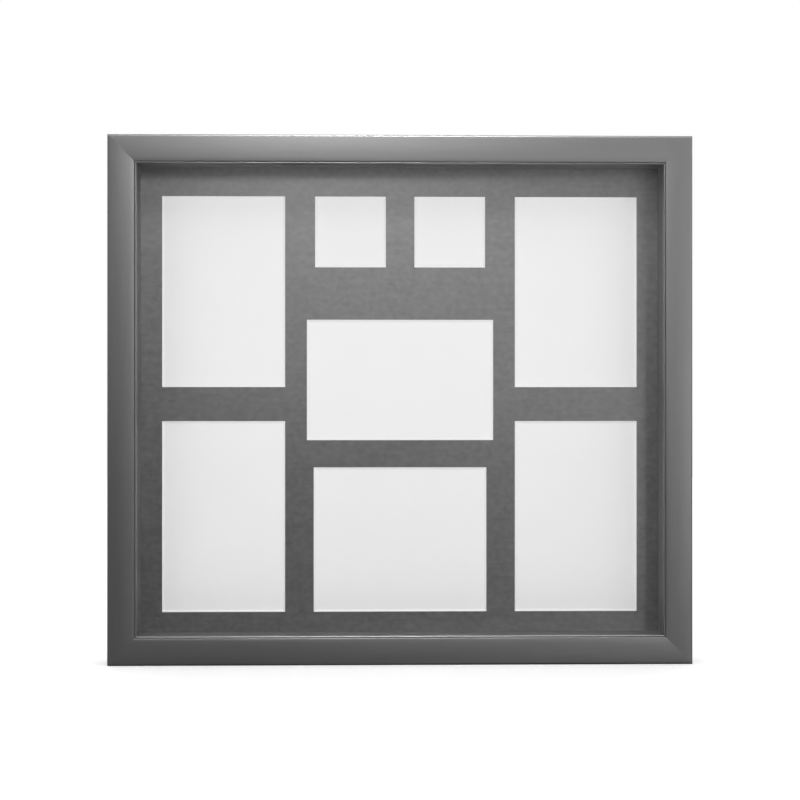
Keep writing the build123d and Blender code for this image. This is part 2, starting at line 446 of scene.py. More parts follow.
class Recipe(Wiring):
    """One material being laid out: a principled surface and the nodes that feed it."""

    WEAR_PATCHES = Noise(even(260))
    WEAR_RANGE: Span = (0.35, 0.6)
    WEAR_SHARE: Span = (0.5, 1.0)
    EDGE_LIKENESS: Span = (0.98, 0.8)
    EDGE_SAMPLES = 4
    # Where a Mix node has its two inputs and its output for colours.
    COLOUR_INPUTS = (6, 7)
    COLOUR_OUTPUT = 2

    def __init__(self, name: str) -> None:
        """Starts a material with a plain principled surface.

        Args:
            name: The material's name.
        """
        self.material = bpy.data.materials.new(name)
        self.material.use_nodes = True
        super().__init__(self.material.node_tree)
        self.surface = self.tree.nodes["Principled BSDF"]
        coordinates = self.node("ShaderNodeTexCoord", {}).outputs
        self.place, self.facing = coordinates["Object"], coordinates["Normal"]

    def noise(self, noise: Noise, stretch: Cells = EVEN) -> NodeSocket:
        """Adds smooth noise.

        Args:
            noise: The noise to add.
            stretch: What its cells are multiplied by along each axis.

        Returns:
            The noise, about 0 to 1.
        """
        scale = tuple(count * share for count, share in zip(noise.cells, stretch))
        stretched = self.node("ShaderNodeMapping", {"Vector": self.place, "Scale": scale}).outputs[0]
        feeds = {"Vector": stretched, "Scale": 1.0, "Detail": noise.detail, "Roughness": noise.roughness}
        return self.node("ShaderNodeTexNoise", feeds).outputs[0]

    def spots(self, count: float) -> NodeSocket:
        """Adds spots, so many in a metre, each dark in its middle."""
        return self.node("ShaderNodeTexVoronoi", {"Vector": self.place, "Scale": count}).outputs["Distance"]

    def tone(self, *layers: tuple[NodeSocket, float]) -> NodeSocket:
        """Adds up noises, each with its share, to a tone from 0 to all the shares together."""
        return reduce(self.sum, (self.span(noise, NOISE_RANGE, (0.0, share)) for noise, share in layers))

    def mix(self, share: Feed, first: Feed, second: Feed) -> NodeSocket:
        """Blends two colours: the share is how much of the second there is."""
        feeds = dict(zip((0, *self.COLOUR_INPUTS), (share, first, second)))
        return self.node("ShaderNodeMix", feeds, data_type="RGBA").outputs[self.COLOUR_OUTPUT]

    def shades(self, tone: NodeSocket, colour: Colour, levels: Span) -> NodeSocket:
        """Turns a tone into a colour between two levels of it."""
        return self.mix(tone, *(opaque(colour, level) for level in levels))

    def rub(self, colour: NodeSocket, reach: float, rubbed: Feed) -> NodeSocket:
        """Rubs a colour away along the sharp edges of a piece, broken up a little as wear is.

        Args:
            colour: The colour away from the edges.
            reach: How far from an edge the wear goes.
            rubbed: The colour of a worn edge.

        Returns:
            The colour with its worn edges.
        """
        rounded = self.node("ShaderNodeBevel", {"Radius": reach}, samples=self.EDGE_SAMPLES).outputs[0]
        flat = self.node("ShaderNodeNewGeometry", {}).outputs["Normal"]
        likeness = self.node("ShaderNodeVectorMath", {0: rounded, 1: flat}, operation="DOT_PRODUCT")
        edge = self.span(likeness.outputs["Value"], self.EDGE_LIKENESS, WHOLE)
        patches = self.span(self.noise(self.WEAR_PATCHES), self.WEAR_RANGE, self.WEAR_SHARE)
        return self.mix(self.maths("MULTIPLY", edge, patches), colour, rubbed)

    def finish(self, colour: Feed, roughness: Feed, metal: Feed = 0.0) -> None:
        """Sets the surface's colour, its roughness and how much of it is metal."""
        for socket, value in (("Base Color", colour), ("Roughness", roughness), ("Metallic", metal)):
            self.feed(self.surface.inputs[socket], value)

    def relief(self, height: NodeSocket, depth: float, strength: float = 0.5) -> None:
        """Gives the surface a fine relief: the depth is how high 1 stands in metres."""
        feeds = {"Height": height, "Distance": depth, "Strength": strength}
        self.feed(self.surface.inputs["Normal"], self.node("ShaderNodeBump", feeds).outputs[0])


def opaque(colour: Colour, level: float = 1.0) -> tuple[float, ...]:
    """The four values of a colour socket: the colour times a level, and alpha 1."""
    return (*(min(part * level, 1.0) for part in colour), 1.0)


class Finish(ABC):
    """A finish that is laid out as a material."""

    def make(self, name: str) -> Material:
        """Makes the finish's material.

        Args:
            name: The material's name.

        Returns:
            The material.
        """
        recipe = Recipe(name)
        self.lay_out(recipe)
        return recipe.material

    @abstractmethod
    def lay_out(self, recipe: Recipe) -> None:
        """Adds the finish's nodes to a material."""


class Grain(Enum):
    """Which way a finish was laid on: what its cells are multiplied by along each axis."""

    ACROSS = (0.05, 1.0, 1.0)
    UPWARDS = (1.0, 1.0, 0.05)


@dataclass(frozen=True)
class SatinLacquer(Finish):
    """Sprayed satin metallic lacquer on a wooden moulding."""

    grain: Grain
    colour: Colour = (0.27, 0.27, 0.27)
    levels: Span = (0.9, 1.1)
    metal: float = 0.96
    gloss: Span = (0.35, 0.43)
    cloud: Noise = Noise(even(55), 4, 0.55)
    cloud_share: float = 0.6
    streak: Noise = Noise(even(900), 3, 0.6)
    streak_share: float = 0.25
    flake: Noise = Noise(even(2600), 2, 0.6)
    flake_share: float = 0.15
    flake_range: Span = (0.35, 0.75)
    peel: Noise = Noise(even(700), 2)
    peel_streaks: float = 0.3
    peel_depth: float = 0.003 * MM
    edge_reach: float = 0.2 * MM
    edge_level: float = 1.35

    def lay_out(self, recipe: Recipe) -> None:
        """Lays out the metallic colour with its flakes, streaks, worn edges and orange peel.

        Args:
            recipe: The material being laid out.
        """
        cloud = recipe.noise(self.cloud, self.grain.value)
        streak = recipe.noise(self.streak, self.grain.value)
        flake = recipe.noise(self.flake)
        glint = recipe.span(flake, self.flake_range, (0.0, self.flake_share))
        tone = recipe.sum(recipe.tone((cloud, self.cloud_share), (streak, self.streak_share)), glint)
        colour = recipe.shades(tone, self.colour, self.levels)
        colour = recipe.rub(colour, self.edge_reach, opaque(self.colour, self.edge_level))
        gloss = recipe.span(recipe.sum(cloud, flake), TWO_NOISES_RANGE, self.gloss)
        recipe.finish(colour, gloss, self.metal)
        streaks = recipe.tone((streak, self.peel_streaks))
        recipe.relief(recipe.sum(recipe.noise(self.peel), streaks), self.peel_depth)


@dataclass(frozen=True)
class MatBoardFinish(Finish):
    """Mat board faced with satin metallic paper, with a white core that shows in the bevels."""

    colour: Colour = (0.27, 0.27, 0.27)
    levels: Span = (0.8, 1.2)
    metal: float = 0.95
    gloss: Span = (0.36, 0.46)
    gloss_range: Span = (0.7, 1.3)
    core: Colour = (0.88, 0.88, 0.87)
    core_levels: Span = (0.94, 1.04)
    core_dullness: float = 0.4
    face_turn: float = 0.9
    mottle: Noise = Noise((220, 220, 260), 4, 0.6)
    mottle_share: float = 0.6
    streak: Noise = Noise((25, 400, 700), 3, 0.6)
    streak_share: float = 0.25
    fibre: Noise = Noise((1500, 1500, 2600), 3, 0.6)
    fibre_share: float = 0.15
    fibre_depth: float = 0.01 * MM

    def lay_out(self, recipe: Recipe) -> None:
        """Lays out the paper and the core, told apart by which way the surface faces.

        Args:
            recipe: The material being laid out.
        """
        facing = recipe.node("ShaderNodeSeparateXYZ", {0: recipe.facing}).outputs["Y"]
        core = recipe.maths("GREATER_THAN", facing, -self.face_turn)
        mottle, streak, fibre = (recipe.noise(noise) for noise in (self.mottle, self.streak, self.fibre))
        layers = ((mottle, self.mottle_share), (streak, self.streak_share), (fibre, self.fibre_share))
        tone = recipe.tone(*layers)
        paper = recipe.shades(tone, self.colour, self.levels)
        pulp = recipe.shades(fibre, self.core, self.core_levels)
        gloss = recipe.span(recipe.sum(mottle, streak), self.gloss_range, self.gloss)
        dullness = recipe.sum(gloss, recipe.span(core, WHOLE, (0.0, self.core_dullness)))
        recipe.finish(recipe.mix(core, paper, pulp), dullness, recipe.span(core, WHOLE, (self.metal, 0.0)))
        recipe.relief(recipe.sum(fibre, streak), self.fibre_depth)


@dataclass(frozen=True)
class PaperFinish(Finish):
    """Plain uncoated card or board, with its fibres and a few specks."""

    colour: Colour
    levels: Span
    speck_share: float = 0.0
    speck_colour: Colour = (0.2, 0.19, 0.18)
    speck_count: float = 420
    speck_range: Span = (0.12, 0.2)
    dullness: Span = (0.69, 0.81)
    cloud: Noise = Noise(even(30), 4, 0.6)
    cloud_share: float = 0.5
    fibre: Noise = Noise((900, 900, 315), 4, 0.65)
    fibre_share: float = 0.5
    fibre_depth: float = 0.02 * MM

    def lay_out(self, recipe: Recipe) -> None:
        """Lays out the card.

        Args:
            recipe: The material being laid out.
        """
        cloud, fibre = recipe.noise(self.cloud), recipe.noise(self.fibre)
        tone = recipe.tone((cloud, self.cloud_share), (fibre, self.fibre_share))
        card = recipe.shades(tone, self.colour, self.levels)
        specks = recipe.span(recipe.spots(self.speck_count), self.speck_range, (self.speck_share, 0.0))
        dullness = recipe.span(fibre, NOISE_RANGE, self.dullness)
        recipe.finish(recipe.mix(specks, card, opaque(self.speck_colour)), dullness)
        recipe.relief(fibre, self.fibre_depth)


@dataclass(frozen=True)
class Hardboard(Finish):
    """Pressed brown hardboard, its smooth side out."""

    colour: Colour = (0.33, 0.22, 0.13)
    levels: Span = (0.88, 1.1)
    dark: Colour = (0.16, 0.1, 0.055)
    fibre_level: float = 1.4
    pale: Colour = (0.46, 0.34, 0.22)
    cloud: Noise = Noise(even(14), 5, 0.6)
    fibre: Noise = Noise((900, 900, 340), 5, 0.7)
    fibre_range: Span = (0.35, 0.65)
    fibre_share: float = 0.5
    fleck: Noise = Noise((420, 420, 150), 3, 0.65)
    dark_range: Span = (0.6, 0.75)
    dark_share: float = 0.55
    pale_range: Span = (0.4, 0.25)
    pale_share: float = 0.5
    dullness: Span = (0.42, 0.6)
    relief_depth: float = 0.03 * MM

    def lay_out(self, recipe: Recipe) -> None:
        """Lays out the board.

        Args:
            recipe: The material being laid out.
        """
        fibre, fleck = recipe.noise(self.fibre), recipe.noise(self.fleck)
        colour = recipe.shades(recipe.noise(self.cloud), self.colour, self.levels)
        for pattern, source, most, other in (
            (fibre, self.fibre_range, self.fibre_share, opaque(self.dark, self.fibre_level)),
            (fleck, self.dark_range, self.dark_share, opaque(self.dark)),
            (fleck, self.pale_range, self.pale_share, opaque(self.pale)),
        ):
            colour = recipe.mix(recipe.span(pattern, source, (0.0, most)), colour, other)
        recipe.finish(colour, recipe.span(fibre, NOISE_RANGE, self.dullness))
        recipe.relief(recipe.sum(fibre, fleck), self.relief_depth)


@dataclass(frozen=True)
class Moulded(Finish):
    """Moulded plastic or rubber with a fine grain."""

    colour: Colour
    dullness: Span
    levels: Span = (0.85, 1.15)
    grain: Noise = Noise(even(1800), 2)
    grain_depth: float = 0.01 * MM
    grain_strength: float = 0.6
    cloud: Noise = Noise(even(60))
    edge_reach: float = 0.25 * MM
    edge_level: float = 1.5

    def lay_out(self, recipe: Recipe) -> None:
        """Lays out the plastic or rubber.

        Args:
            recipe: The material being laid out.
        """
        grain, cloud = recipe.noise(self.grain), recipe.noise(self.cloud)
        colour = recipe.shades(cloud, self.colour, self.levels)
        colour = recipe.rub(colour, self.edge_reach, opaque(self.colour, self.edge_level))
        recipe.finish(colour, recipe.span(recipe.sum(grain, cloud), TWO_NOISES_RANGE, self.dullness))
        recipe.relief(grain, self.grain_depth, self.grain_strength)


@dataclass(frozen=True)
class PlatedSteel(Finish):
    """Plated steel hardware with tumbling marks, rubbed brighter along its edges."""

    colour: Colour
    dullness: Span
    levels: Span = (0.92, 1.08)
    tarnish: Colour = (0.42, 0.4, 0.36)
    tarnish_range: Span = (0.5, 0.75)
    tarnish_share: float = 0.45
    spangle_count: float = 900
    spangle_range: Span = (0.1, 0.8)
    spangle_share: float = 0.5
    scuff: Noise = Noise((350, 350, 2400), 3, 0.6)
    scuff_share: float = 0.5
    cloud: Noise = Noise(even(150), 3, 0.6)
    relief_depth: float = 0.006 * MM
    edge_reach: float = 0.15 * MM
    edge_level: float = 1.3

    def lay_out(self, recipe: Recipe) -> None:
        """Lays out the plating.

        Args:
            recipe: The material being laid out.
        """
        spangle = recipe.spots(self.spangle_count)
        scuff, cloud = recipe.noise(self.scuff), recipe.noise(self.cloud)
        spangled = recipe.span(spangle, self.spangle_range, (0.0, self.spangle_share))
        tone = recipe.sum(spangled, recipe.tone((scuff, self.scuff_share)))
        plate = recipe.shades(tone, self.colour, self.levels)
        tarnish = recipe.span(cloud, self.tarnish_range, (0.0, self.tarnish_share))
        plate = recipe.mix(tarnish, plate, opaque(self.tarnish))
        plate = recipe.rub(plate, self.edge_reach, opaque(self.colour, self.edge_level))
        recipe.finish(plate, recipe.span(recipe.sum(scuff, cloud), TWO_NOISES_RANGE, self.dullness), 1.0)
        recipe.relief(recipe.sum(scuff, spangle), self.relief_depth)


@dataclass(frozen=True)
class ClearGlass(Finish):
    """A clear pane: what is behind shows through, with a thin soft reflection over it."""

    index: float = 1.5
    tint: Colour = (0.99, 0.99, 0.99)
    smear: Noise = Noise(even(9), 4, 0.6)
    smear_range: Span = (0.35, 0.7)
    dullness: Span = (0.12, 0.17)

    def lay_out(self, recipe: Recipe) -> None:
        """Lays out the pane, with its reflection on the side that a ray enters by.

        Args:
            recipe: The material being laid out.
        """
        recipe.tree.nodes.remove(recipe.surface)
        dullness = recipe.span(recipe.noise(self.smear), self.smear_range, self.dullness)
        mirrored = recipe.node("ShaderNodeFresnel", {"IOR": self.index}).outputs[0]
        leaving = recipe.node("ShaderNodeNewGeometry", {}).outputs["Backfacing"]
        share = recipe.maths("MULTIPLY", mirrored, recipe.span(leaving, WHOLE, (1.0, 0.0)))
        clear = recipe.node("ShaderNodeBsdfTransparent", {"Color": opaque(self.tint)}).outputs[0]
        shine = recipe.node("ShaderNodeBsdfAnisotropic", {"Roughness": dullness}).outputs[0]
        output = recipe.tree.nodes["Material Output"]
        recipe.feed(output.inputs["Surface"], recipe.blend(share, clear, shine))


def dress(piece: Object, material: Material) -> None:
    """Gives a piece one material all over.

    Args:
        piece: The object to dress.
        material: The material.
    """
    if not piece.data.materials:
        piece.data.materials.append(material)
    for place in piece.material_slots:
        place.material = material


def stand_for(piece: Object, node: str, body: str = FIXED_BODY) -> None:
    """Lets a finished piece stand for a CAD node and move with its body.

    Args:
        piece: The finished piece.
        node: The CAD node that it replaces.
        body: The body that it moves with.
    """
    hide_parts(node)
    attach(piece, body)
    log.info("%s stands for %s", piece.name, node)


def stand_in(source: Object, name: str, place: Matrix, node: str, body: str = FIXED_BODY) -> None:
    """Puts a copy of a piece in a place, to stand for a CAD node there.

    Args:
        source: The piece to copy, modelled about the origin.
        name: The copy's name.
        place: Where its origin and axes go.
        node: The CAD node that it replaces.
        body: The body that it moves with.
    """
    piece = copy_of(source, name)
    put(piece, place)
    stand_for(piece, node, body)


# The front: moulding, glass, mat and cards


class RailSide(Enum):
    """The four rails, each with the way its inner side faces and the way it runs."""

    TOP = ("rail_top", DOWN, RIGHTWARDS)
    BOTTOM = ("rail_bottom", UP, LEFTWARDS)
    LEFT = ("rail_left", RIGHTWARDS, UP)
    RIGHT = ("rail_right", LEFTWARDS, DOWN)

    def __init__(self, node: str, inwards: Vector, along: Vector) -> None:
        """Keeps the rail's CAD node, which way its inner side faces and which way it runs."""
        self.node, self.inwards, self.along = node, inwards, along

    @property
    def grain(self) -> Grain:
        """Which way the rail's lacquer was laid on."""
        return Grain.ACROSS if self.along.x else Grain.UPWARDS

    def length(self) -> float:
        """The rail's length on its outer side."""
        low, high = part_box(self.node)
        return abs((high - low).dot(self.along))

    def place(self) -> Matrix:
        """Finds where the rail's section starts, at its outer front corner.

        Returns:
            The place there: x runs inwards, y back and z along the rail.
        """
        low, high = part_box(self.node)
        start = BACK + self.inwards + self.along
        corner = (low + high) / 2 - Vector(way * side / 2 for way, side in zip(start, high - low))
        return axes(corner, self.inwards, self.along)


@dataclass
class Moulding:
    """The four mitred rails: crown, roll, quirk and bead round a square rebate."""

    face_width: float = 21 * MM
    rebate_width: float = 5.5 * MM
    outer_radius: float = 1.5 * MM
    back_break: float = 0.8 * MM
    crown_rise: float = 0.25 * MM
    roll_width: float = 3.2 * MM
    roll_drop: float = 0.35 * MM
    bead_radius: float = 0.75 * MM
    bead_proud: float = -0.3 * MM
    lip_land: float = 3.35 * MM
    mitre_break: float = 0.03 * MM
    slot_overrun: float = 1 * MM
    slot_shift: float = 0.03 * MM
    crown_steps: int = 24
    roll_steps: int = 8
    bead_steps: int = 12
    corner_steps: int = 7
    nail_plating: PlatedSteel = PlatedSteel((0.78, 0.77, 0.75), (0.22, 0.42))

    @property
    def crown_half(self) -> float:
        """Half of the crown's width."""
        return (self.face_width - self.bead_radius * 2 - self.roll_width) / 2

    @property
    def crown_radius(self) -> float:
        """The radius of the crown's arc."""
        return (self.crown_half**2 + self.crown_rise**2) / (self.crown_rise * 2)

    def crown(self) -> list[Vector]:
        """The outer rounding and the crown, from the outer side inwards.

        Returns:
            The points, and the crown's last one is where the roll starts.
        """
        half, radius = self.crown_half, self.crown_radius
        centre = Vector((half, radius, 0))
        inner = radius - self.outer_radius
        drop = (inner**2 - (half - self.outer_radius) ** 2) ** 0.5
        corner = Vector((self.outer_radius, radius - drop, 0))
        meeting = atan2(corner.y - centre.y, corner.x - centre.x)
        last = -pi / 2 + asin(half / radius)
        rounding = arc_points(corner, self.outer_radius, -pi, meeting, self.corner_steps)
        return rounding + arc_points(centre, radius, meeting, last, self.crown_steps)[1:]

    def roll(self, start: Vector) -> list[Vector]:
        """The roll that leaves the crown smoothly and falls to the quirk.

        Args:
            start: The crown's last point.

        Returns:
            The points after the start.
        """
        leaving = asin(self.crown_half / self.crown_radius)
        chord = hypot(self.roll_width, self.roll_drop)
        bend = atan2(self.roll_drop, self.roll_width) - leaving
        radius = chord / 2 / sin(bend)
        centre = start + Vector((-sin(leaving), cos(leaving), 0)) * radius
        first = leaving - pi / 2
        return arc_points(centre, radius, first, first + bend * 2, self.roll_steps)[1:]

    def section(self) -> list[Vector]:
        """The whole section: x runs in from the outer side and y back from the top of the crown.

        Returns:
            The corners in order.
        """
        low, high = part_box(RailSide.TOP.node)
        depth = high.y - low.y
        arm = self.face_width - self.rebate_width
        face = self.crown()
        face += self.roll(face[-1])
        level = self.crown_rise + self.roll_drop - self.bead_proud + self.bead_radius
        lip = level + self.lip_land
        bead = Vector((self.face_width - self.bead_radius, level, 0))
        face += arc_points(bead, self.bead_radius, -pi, 0, self.bead_steps)
        rest = [(self.face_width, lip), (arm, lip), (arm, depth), (self.back_break, depth)]
        rest.append((0, depth - self.back_break))
        return face + [Vector((x, y, 0)) for x, y in rest]

    def nail_slots(self) -> Object:
        """Makes the slots that the V-nails leave, open to the back.

        Returns:
            The body to cut away.
        """
        slots = copy_of(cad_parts["corner_nails"], "nail_slots")
        with editing(slots):
            weld()
            pick_faces(slots, lambda face: face.normal.y > FACING)
            bpy.ops.mesh.extrude_region_move(TRANSFORM_OT_translate={"value": BACK * self.slot_overrun})
        return slots

    def make_rail(self, side: RailSide, slots: Object) -> Object:
        """Runs the section along one side, mitres its ends and cuts the slots.

        Args:
            side: Which rail.
            slots: The slots of all the nails.

        Returns:
            The rail, in its place.
        """
        rail = draw_outline("moulding_" + side.name.lower(), self.section())
        length = side.length()
        pull(rail, Vector((0, 0, length)))
        with editing(rail):
            for end, outwards in ((0, -1), (length, 1)):
                select_all()
                bpy.ops.mesh.bisect(
                    plane_co=(0, 0, end), plane_no=(1, 0, outwards), use_fill=True, clear_outer=True
                )
            pick_faces(rail, lambda face: abs(face.normal.z) > FACING)
            bpy.ops.mesh.region_to_loop()
            bpy.ops.mesh.bevel(offset=self.mitre_break, segments=1, affect="EDGES")
            face_outwards()
        put(rail, side.place())
        slots_here = copy_of(slots, "slots_here")
        put(slots_here, Matrix.Translation(side.inwards * self.slot_shift))
        combine(rail, slots_here)
        smooth(rail)
        return rail

    def build(self) -> None:
        """Makes and dresses the four rails, and dresses the nails across their mitres."""
        lacquer = {grain: SatinLacquer(grain).make("lacquer_" + grain.name.lower()) for grain in Grain}
        slots = self.nail_slots()
        for side in RailSide:
            rail = self.make_rail(side, slots)
            dress(rail, lacquer[side.grain])
            stand_for(rail, side.node)
        bpy.data.objects.remove(slots)
        dress(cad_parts["corner_nails"], self.nail_plating.make("bright_steel"))
        log.info("corner_nails dressed")


@dataclass
class Glazing:
    """The pane behind the lip, and the strips that hold the mat off it."""

    plastic: Moulded = Moulded((0.13, 0.13, 0.13), (0.44, 0.58))

    def build(self) -> None:
        """Dresses the pane and the four strips."""
        dress(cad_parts["glass_pane"], ClearGlass().make("clear_glass"))
        plastic = self.plastic.make("spacer_plastic")
        for side in ("top", "bottom", "left", "right"):
            dress(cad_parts["spacer_" + side], plastic)
        log.info("glass_pane and its spacers dressed")


@dataclass
class MatPack:
    """The mat, the blank cards in its windows, and the two boards behind."""

    card: PaperFinish = PaperFinish(
        (0.84, 0.84, 0.84), levels=(0.988, 1.012), fibre=Noise((1400, 1400, 490), 4, 0.65)
    )
    board: PaperFinish = PaperFinish((0.5, 0.48, 0.45), levels=(0.92, 1.08), speck_share=0.5)

    def build(self) -> None:
        """Dresses the sheets from the front to the back."""
        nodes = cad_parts
        dress(nodes["window_mat"], MatBoardFinish().make("mat_board"))
        card = self.card.make("blank_card")
        for name in nodes:
            if name.startswith("card_"):
                dress(nodes[name], card)
        dress(nodes["mount_board"], self.board.make("grey_board"))
        dress(nodes["back_panel"], Hardboard().make("hardboard"))
        log.info("mat, cards and boards dressed")


# The back: screws, buttons, hangers and bumpers


@dataclass(frozen=True)
class Dome:
    """The rounded top of a turned piece: fuller than a ball where its fullness is under 1."""

    radius: float
    rim: float
    height: float
    fullness: float
    steps: int

    def half_section(self, *foot: tuple[float, float]) -> list[Vector]:
        """Half of a turned piece cut lengthwise, in the plane of x and z.

        Args:
            *foot: The corners below the dome, from the axis outwards.

        Returns:
            The corners from the lowest to the top of the dome.
        """
        angles = [pi / 2 * step / self.steps for step in range(self.steps)]
        rise = self.height - self.rim
        dome = [(self.radius * cos(angle) ** self.fullness, self.rim + rise * sin(angle)) for angle in angles]
        return [Vector((x, 0, z)) for x, z in [*foot, *dome, (0, self.height)]]


@dataclass
class PanHeadScrew:
    """A pan-head wood screw with a cross recess."""

    length: float = 12 * MM
    radius: float = 1.45 * MM
    tip: float = 2.5 * MM
    head: Dome = Dome(radius=2.75 * MM, rim=0.7 * MM, height=1.9 * MM, fullness=0.7, steps=9)
    recess_reach: float = 1.6 * MM
    recess_width: float = 0.75 * MM
    recess_depth: float = 1.15 * MM
    recess_taper: float = 0.3
    sides: int = 40
    sharp: float = radians(35)

    def recess(self) -> Object:
        """Makes the tapered cross that the driver fits.

        Returns:
            The body to cut away.
        """
        start_fresh()
        bpy.ops.mesh.primitive_cube_add(size=1, location=(0, 0, self.head.height))
        blade = name_active("recess")
        blade.scale = (self.recess_reach * 2, self.recess_width, self.recess_depth * 2)
        bpy.ops.object.transform_apply(location=True, scale=True)
        with editing(blade):
            pick_faces(blade, lambda face: face.normal.z < -FACING)
            bpy.ops.transform.resize(value=(self.recess_taper, 1, 1))
        second = copy_of(blade, "second_blade")
        put(second, Matrix.Rotation(pi / 2, 4, "Z"))
        combine(blade, second, "UNION")
        return blade

    def make(self) -> Object:
        """Models one screw about the origin, its head standing on z = 0.

        Returns:
            The screw.
        """
        neck = (self.radius, self.tip - self.length)
        section = self.head.half_section((0, -self.length), neck, (self.radius, 0), (self.head.radius, 0))
        screw = draw_outline("screw", section, closed=False)
        turn(screw, self.sides)
        combine(screw, self.recess())
        smooth(screw, self.sharp)
        return screw


class ButtonSeat(Enum):
    """The eight turn buttons, each with its CAD node and the way its tip points over the panel."""

    TOP_LEFT = ("turn_button_top_left", DOWN)
    TOP_RIGHT = ("turn_button_top_right", DOWN)
    BOTTOM_LEFT = ("turn_button_bottom_left", UP)
    BOTTOM_RIGHT = ("turn_button_bottom_right", UP)
    LEFT_UPPER = ("turn_button_left_upper", RIGHTWARDS)
    LEFT_LOWER = ("turn_button_left_lower", RIGHTWARDS)
    RIGHT_UPPER = ("turn_button_right_upper", LEFTWARDS)
    RIGHT_LOWER = ("turn_button_right_lower", LEFTWARDS)

    def __init__(self, node: str, towards: Vector) -> None:
        """Keeps the button's CAD node, which is its body too, and which way its tip points."""
        self.node, self.towards = node, towards

    def place(self, hub_radius: float) -> Matrix:
        """Finds the seat of a button on the back of its rail.

        Args:
            hub_radius: How far the button reaches beyond its screw on the hub's side.

        Returns:
            The place under its screw: x runs to the tip and z away from the frame.
        """
        low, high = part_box(self.node)
        half = abs((high - low).dot(self.towards)) / 2
        hub = (low + high) / 2 - self.towards * (half - hub_radius)
        hub.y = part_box(RailSide.TOP.node)[1].y
        return axes(hub, self.towards, BACK)


@dataclass
class TurnButtons:
    """Stamped steel buttons that hold the back panel, each on its own screw."""

    thickness: float = 0.9 * MM
    hub_radius: float = 4.25 * MM
    tip_radius: float = 3 * MM
    reach: float = 10.5 * MM
    play: float = 0.15 * MM
    bore_radius: float = 1.65 * MM
    edge_round: float = 0.18 * MM
    round_sides: int = 64
    plating: PlatedSteel = PlatedSteel((0.66, 0.65, 0.62), (0.18, 0.38))

    def make(self) -> Object:
        """Models one button about the origin, its tip along x.

        Returns:
            The button.
        """
        top = self.play + self.thickness
        button = add_rod(self.hub_radius, self.play, top, sides=self.round_sides)
        tip = self.reach - self.tip_radius
        join(button, add_rod(self.tip_radius, self.play, top, tip, self.round_sides))
        wrap(button)
        combine(button, add_rod(self.bore_radius, -top, top * 2))
        soften(button, self.edge_round)
        smooth(button)
        return button

    def build(self, screw: Object) -> None:
        """Puts eight buttons and their screws in place.

        Args:
            screw: A screw to copy, its head standing on z = 0.
        """
        plating = self.plating.make("nickel_steel")
        pattern = self.make()
        for piece in (screw, pattern):
            dress(piece, plating)
        head = Matrix.Translation((0, 0, self.thickness + self.play * 2))
        for number, seat in enumerate(ButtonSeat, 1):
            place, side = seat.place(self.hub_radius), seat.name.lower()
            stand_in(pattern, "button_" + side, place, seat.node, seat.node)
            driven = place @ head @ Matrix.Rotation(number, 4, "Z")
            stand_in(screw, "button_screw_" + side, driven, "turn_button_screws")
        bpy.data.objects.remove(pattern)


class HangerSide(Enum):
    """The two strap hangers."""

    LEFT = "left"
    RIGHT = "right"


